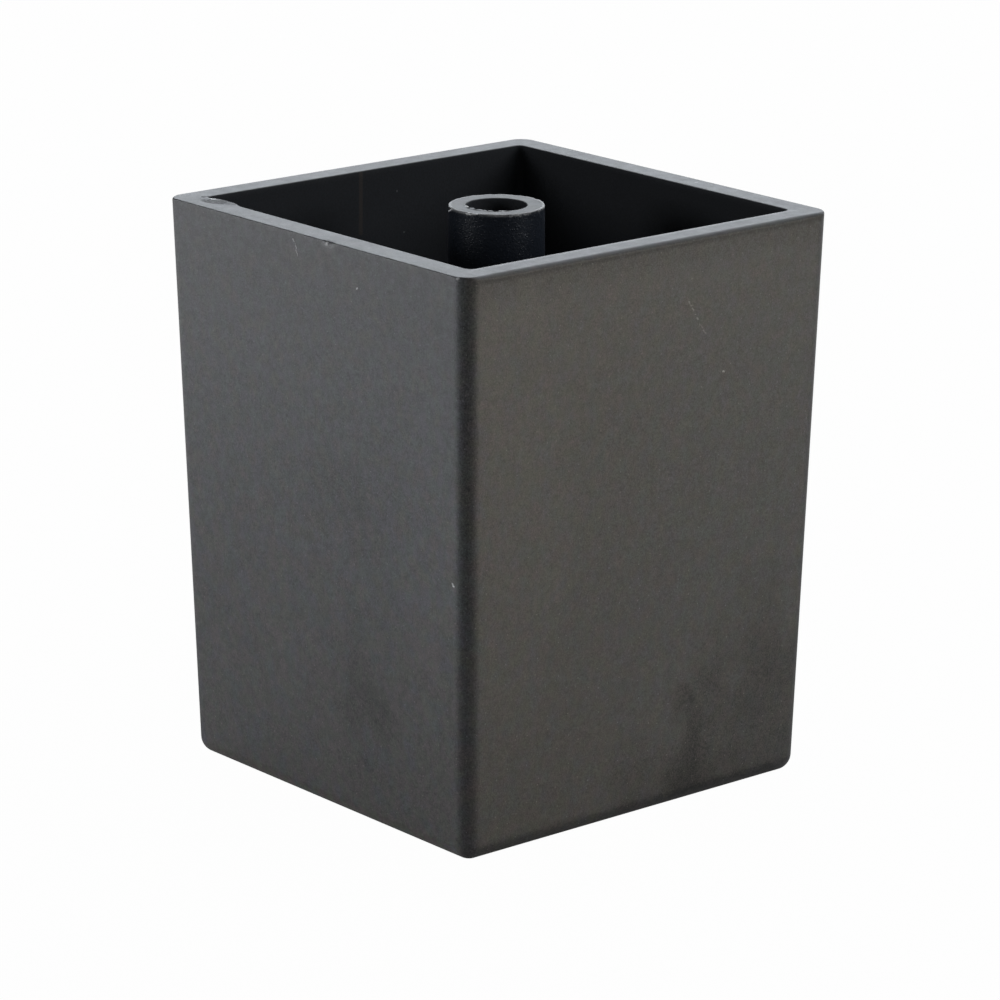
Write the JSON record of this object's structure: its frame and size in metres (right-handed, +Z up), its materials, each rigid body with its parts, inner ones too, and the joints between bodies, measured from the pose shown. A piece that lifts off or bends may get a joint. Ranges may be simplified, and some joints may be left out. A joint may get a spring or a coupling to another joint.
{
  "type": "furniture leg",
  "caption": "Square tapered furniture leg, a hollow plastic moulding open at the top, with a tubular screw boss level with its rim and a countersunk screw hole in the foot.",
  "frame": {"origin": "middle of the foot's underside, on the floor", "axes": "+Z up along the leg's axis to the open rim; X and Y square to the side faces"},
  "size_m": [0.0402, 0.0402, 0.05],
  "materials": {
    "moulded_plastic": "fine spark-textured moulding, satin"
  },
  "bodies": {
    "root": {"leg": "moulded_plastic"}
  },
  "joints": []
}
